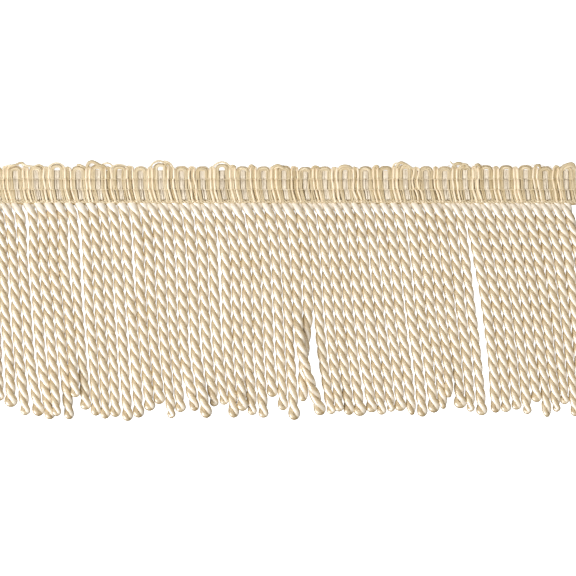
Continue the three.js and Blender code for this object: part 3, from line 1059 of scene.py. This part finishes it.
def stitching():
    """Three rows of fine pale thread that dip between the yarns that they tie down."""
    sample_count, stitch_step = 900, 2.03
    along = np.linspace(LEFT_END + 0.2, RIGHT_END - 0.2, sample_count)
    levels = np.array(GROOVES)
    x = np.broadcast_to(along, (len(levels), len(along)))
    y = levels[:, None] + 0.07 * np.sin(2 * np.pi * along / stitch_step)[None, :]
    z = np.stack([surface_height(along, level) for level in levels])
    paths = np.stack([x, y, z], axis=-1)
    level = np.broadcast_to([0.0, 0.0, 1.0], paths.shape)
    points = sweep(paths, level, round_section(0.1, 0.11, 6))
    tones = np.full(len(levels), 0.8)
    return yarn_piece("heading_stitching", points, paths, viscose_gimp(), 0.1, 1, 3.0, tones)


def tie_bars_and_pit_shade(rng):
    """Short dark stitches across the foot of each white patch, where the sewing thread shows; they also paint
    the pits' shade.
    """
    middles = np.repeat(ARCH_TABLE[:, 0], len(GROOVES))
    levels = np.tile(GROOVES, len(ARCHES))
    shown = rng.random(len(levels)) < np.tile([0.6, 0.75, 0.9], len(ARCHES))
    middles, levels = middles[shown], levels[shown]
    lowest = levels < 1
    half = np.where(lowest, rng.uniform(0.2, 0.5, len(levels)), rng.uniform(0.45, 0.75, len(levels)))
    aside = rng.uniform(-0.15, 0.15, len(levels)) - 0.2 * lowest
    share = np.linspace(-1, 1, 9)[None, :]
    y = levels[:, None] - 0.02 + 0.06 * share**2
    x = (middles + aside)[:, None] + slant(y, 0.0) + half[:, None] * share
    z = 2.0 - 0.12 * share**2
    paths = np.stack([x, y, np.broadcast_to(z, x.shape)], axis=-1)
    level = np.broadcast_to([0.0, 0.0, 1.0], paths.shape)
    low = np.where(lowest, 0.19, 0.075)[:, None]
    round_end = np.sqrt(np.maximum(1 - share**2, 0.05))
    section = round_section(0.12 * round_end * np.ones_like(low), low * round_end, 8)
    points = sweep(paths, level, section)
    return yarn_piece("heading_tie_bars", points, paths, sewing_thread_and_pit_shade(), 0.15, 6, 2.0)


def selvedge():
    """A fine two-ply cord along the heading's lower edge, over the roots of the skirt."""
    sample_count, twist_length = 1100, 2.03
    along = np.linspace(LEFT_END + 0.1, RIGHT_END - 0.1, sample_count)
    turn = 2 * np.pi * along / twist_length
    turns = np.stack([turn, turn + np.pi])
    x = np.broadcast_to(along, turns.shape)
    y = 0.28 + 0.2 * np.cos(turns)
    z = YARN_HEIGHT["selvedge"] + 0.2 * np.sin(turns)
    paths = np.stack([x, y, z], axis=-1)
    outward = np.stack([np.zeros_like(turns), np.cos(turns), np.sin(turns)], axis=-1)
    points = sweep(paths, outward, round_section(0.2, 0.25, 8))
    tones = np.full(2, 0.6)
    return yarn_piece("heading_selvedge", points, paths, viscose_gimp(), 0.25, 1, 1.0, tones)


def loose_yarns():
    """Yarns that stand out of the upper edge, each a smooth cubic through its five points.

    Between two points the cubic's slopes are half of the step from the point before to the point after. The
    yarn rises a little off the heading in its middle, and its ends go back in.
    """
    rows = np.array(LOOSE_YARNS)
    knots = rows[:, :10].reshape(len(rows), 5, 2)
    before = np.concatenate([2 * knots[:, :1] - knots[:, 1:2], knots[:, :-1]], axis=1)
    after = np.concatenate([knots[:, 1:], 2 * knots[:, -1:] - knots[:, -2:-1]], axis=1)
    slopes = (after - before) / 2
    place = np.linspace(0, 4, 33)
    step = np.minimum(place.astype(int), 3)
    t = (place - step)[None, :, None]
    path = (
        (2 * t**3 - 3 * t**2 + 1) * knots[:, step]
        + (t**3 - 2 * t**2 + t) * slopes[:, step]
        + (3 * t**2 - 2 * t**3) * knots[:, step + 1]
        + (t**3 - t**2) * slopes[:, step + 1]
    )
    z = np.broadcast_to(1.95 + 0.8 * np.sin(np.pi * place / 4), path.shape[:2])
    paths = np.concatenate([path, z[..., None]], axis=-1)
    level = np.broadcast_to([0.0, 0.0, 1.0], paths.shape)
    ends = 1 - 0.35 * np.abs(place / 2 - 1) ** 4
    half = rows[:, 10:11] / 2 * ends
    points = sweep(paths, level, round_section(0.8 * half, half, 10))
    return yarn_piece("heading_loose_yarns", points, paths, viscose_gimp(), 0.35, 3, 1.2, rows[:, 11])


def crown_height(x):
    """How high the heading's edge stands at each place: the outline of the nearest arch."""
    middles, rises, _ = ARCH_TABLE.T
    nearest = np.argmin(np.abs(x[:, None] - middles), axis=1)
    share = np.clip(np.abs(x - middles[nearest]) / 2.2, 0, 1)
    return 10.75 + 0.7 * rises[nearest] * np.sqrt(1 - share**2)


def fuzz(rng):
    """Short loose filaments along the upper edge: arcs of a circle that leave the yarn in any direction.

    Each is drawn 0.07 mm thick, as a few filaments that cling together, because one alone is too fine to
    show. A third of them stand in the tangles.
    """
    count, steps, in_tangles, half_thick = 2000, 5, 0.35, 0.036
    x = rng.uniform(LEFT_END + 0.3, RIGHT_END - 0.3, count)
    tangled = rng.choice(TANGLES, count) + rng.normal(0, 1.9, count)
    x = np.clip(np.where(rng.random(count) < in_tangles, tangled, x), LEFT_END + 0.3, RIGHT_END - 0.3)
    near = np.min(np.abs(x[:, None] - np.array(TANGLES)), axis=1) < 3
    y = crown_height(x) - rng.uniform(0.0, 0.8, count) + near * rng.uniform(0, 0.9, count)
    z = rng.uniform(1.7, 2.7, count)
    heading = rng.uniform(-0.25, 1.25, count) * np.pi
    bend = rng.normal(0, 1.1, count)
    long = rng.uniform(0.4, 1.3, count)
    share = np.linspace(0, 1, steps + 1)
    direction = heading[:, None] + bend[:, None] * share * long[:, None]
    step = long[:, None] / steps
    across = x[:, None] + np.cumsum(np.cos(direction) * step, axis=1)
    up = y[:, None] + np.cumsum(np.sin(direction) * step, axis=1)
    rise = z[:, None] + rng.normal(0, 0.35, count)[:, None] * share
    paths = np.stack([across, np.minimum(up, HIGHEST), rise], axis=-1)
    level = np.broadcast_to([0.0, 0.0, 1.0], paths.shape)
    thin = np.broadcast_to(half_thick * (1 - 0.6 * share), paths.shape[:2])
    points = sweep(paths, level, round_section(thin, thin, 3))
    tones = rng.uniform(0, 0.5, count)
    return yarn_piece("heading_fuzz", points, paths, bright_edge_cord(), 0.03, 40, 0.0, tones)


def ground():
    """The woven ground under the yarns, and its back: a flat band with rounded edges, pinched in rows."""
    lower, upper, bottom, top, rounded = -0.4, 9.4, 0.12, 1.6, 0.3
    along = np.linspace(LEFT_END + 0.05, RIGHT_END - 0.05, 200)
    rows = np.linspace(0, 1, 30)
    face = lower + rows * (upper - lower)
    front = np.stack([face, top - 0.15 * pinch(face)], axis=-1)
    back = np.stack([face[::-1], bottom + 0.12 * pinch(face[::-1])], axis=-1)
    edge = (bottom + top) / 2
    outline = np.concatenate([front, [[upper + rounded, edge]], back, [[lower - rounded, edge]]])
    points = np.empty((1, len(along), len(outline), 3))
    points[0, ..., 0] = along[:, None]
    points[0, ..., 1:] = outline[None, :, :]
    piece = tube_piece(
        "heading_ground",
        points[:, :, ::-1],
        np.zeros(points.shape),
        np.zeros(points.shape[:3]),
        ground_weave(),
        "heading",
    )
    return piece, (RIGHT_END - LEFT_END, upper - lower + 2 * rounded)


class FRINGE_OT_heading(bpy.types.Operator):
    """Make the heading: ground weave, gimp arches, edge cord, binder, floss, stitching and loose yarns"""

    bl_idname = "fringe.heading"
    bl_label = "Heading"

    def execute(self, context):
        rng = np.random.default_rng(SEED + 1)
        sizes = context.scene.fringe_heading
        woven, flat = ground()
        on_it = [
            gimp(sizes, rng),
            edge_cord(sizes, rng),
            binder(rng),
            floss(sizes, rng),
            stitching(),
            tie_bars_and_pit_shade(rng),
            selvedge(),
            loose_yarns(),
            fuzz(rng),
        ]
        return {"FINISHED"}


def floor_material():
    """White sweep of matt paper, lit from beneath, so that it shows white between the cords too."""
    material, tree, output = new_material("matt white paper")
    shader = add(
        tree,
        "ShaderNodeBsdfPrincipled",
        {
            "Base Color": linear("#ffffff"),
            "Roughness": 0.9,
            "Emission Color": (1.0, 1.0, 1.0, 1.0),
            "Emission Strength": 1.0,
        },
    )
    tree.links.new(shader.outputs[0], output.inputs["Surface"])
    return material


def studio_world(bright_side, dark, bright):
    """Soft light from all round, brightest from one side and darkest from the side across from it."""
    world = bpy.data.worlds.new("studio")
    world.use_nodes = True
    tree = world.node_tree
    tree.nodes.clear()
    direction = add(tree, "ShaderNodeTexCoord")
    facing = add(
        tree,
        "ShaderNodeVectorMath",
        {0: direction.outputs["Generated"], 1: bright_side},
        operation="DOT_PRODUCT",
    )
    strength = add(
        tree,
        "ShaderNodeMapRange",
        {"Value": facing.outputs["Value"], "From Min": 0.1, "To Min": dark, "To Max": bright},
    )
    light = add(
        tree,
        "ShaderNodeBackground",
        {"Color": (1.0, 1.0, 1.0, 1.0), "Strength": strength.outputs[0]},
    )
    output = add(tree, "ShaderNodeOutputWorld")
    tree.links.new(light.outputs[0], output.inputs["Surface"])
    return world


def add_light(name, place, target, size, power):
    """A soft light that faces the target: an area so wide, and so high."""
    lamp = bpy.data.lights.new(name, "AREA")
    lamp.shape = "RECTANGLE"
    lamp.size, lamp.size_y = size
    lamp.energy = power
    holder = bpy.data.objects.new(name, lamp)
    bpy.context.scene.collection.objects.link(holder)
    holder.location = place
    direction = target - holder.location
    holder.rotation_euler = direction.to_track_quat("-Z", "Y").to_euler()
    return holder


class FRINGE_OT_stage(bpy.types.Operator):
    """Make the stage: camera straight above, white floor, soft light from the lower left"""

    bl_idname = "fringe.stage"
    bl_label = "Stage"

    def execute(self, context):
        scene = context.scene
        middle = in_frame(np.array([PHOTO_MIDDLE[0], PHOTO_MIDDLE[1], 0.0]))
        lens = bpy.data.cameras.new("camera")
        lens.sensor_width = 36.0
        distance = 0.9  # the camera's height above the floor
        lens.lens = lens.sensor_width * distance / (PICTURE_WIDTH * MM)
        lens.clip_start = 0.01
        camera = bpy.data.objects.new("camera", lens)
        camera.location = (middle[0], middle[1], distance)
        scene.collection.objects.link(camera)
        scene.camera = camera

        mesh = bpy.data.meshes.new("floor")
        reach = 1.5  # half the floor's width
        corners = [(-reach, -reach, 0), (reach, -reach, 0), (reach, reach, 0), (-reach, reach, 0)]
        mesh.from_pydata(corners, [], [(0, 1, 2, 3)])
        mesh.materials.append(floor_material())
        floor = bpy.data.objects.new("floor", mesh)
        floor.visible_diffuse = False
        floor.visible_glossy = False
        scene.collection.objects.link(floor)

        target = camera.location.copy()
        target.z = 0.0
        add_light("key", (-0.5, -0.2, 0.5), target, (0.35, 0.35), 1.6)
        gloss = add_light("gloss", (-0.72, -0.38, 0.36), target, (0.9, 0.5), 12.5)
        gloss.visible_diffuse = False
        scene.world = studio_world((-0.2, -0.08, 0.98), 0.08, 1.5)
        scene.view_settings.view_transform = "Standard"
        return {"FINISHED"}


class FRINGE_PT_panel(bpy.types.Panel):
    """The trim's operators and sizes in the 3D view's sidebar"""

    bl_idname = "FRINGE_PT_panel"
    bl_label = "Bullion Fringe"
    bl_space_type = "VIEW_3D"
    bl_region_type = "UI"
    bl_category = "Fringe"

    def draw(self, context):
        layout = self.layout
        for operator in OPERATORS:
            layout.operator(operator.bl_idname)
        for group in (context.scene.fringe_cords, context.scene.fringe_heading, context.scene.fringe_colours):
            box = layout.box()
            for name in group.__annotations__:
                box.prop(group, name)


GROUPS = {
    "fringe_cords": FringeCordSizes,
    "fringe_heading": FringeHeadingSizes,
    "fringe_colours": FringeColours,
}
OPERATORS = (FRINGE_OT_stage, FRINGE_OT_heading, FRINGE_OT_skirt_cords)


def register():
    """Registers the classes and the scene's property groups."""
    for kind in (*GROUPS.values(), *OPERATORS, FRINGE_PT_panel):
        bpy.utils.register_class(kind)
    for name, kind in GROUPS.items():
        setattr(bpy.types.Scene, name, PointerProperty(type=kind))


def unregister():
    """Takes them away again."""
    for name in GROUPS:
        delattr(bpy.types.Scene, name)
    for kind in reversed((*GROUPS.values(), *OPERATORS, FRINGE_PT_panel)):
        bpy.utils.unregister_class(kind)


def main():
    """Makes the stage and the whole trim."""
    register()
    bpy.ops.fringe.stage()
    bpy.ops.fringe.heading()
    bpy.ops.fringe.skirt_cords()


if __name__ == "__main__":
    main()
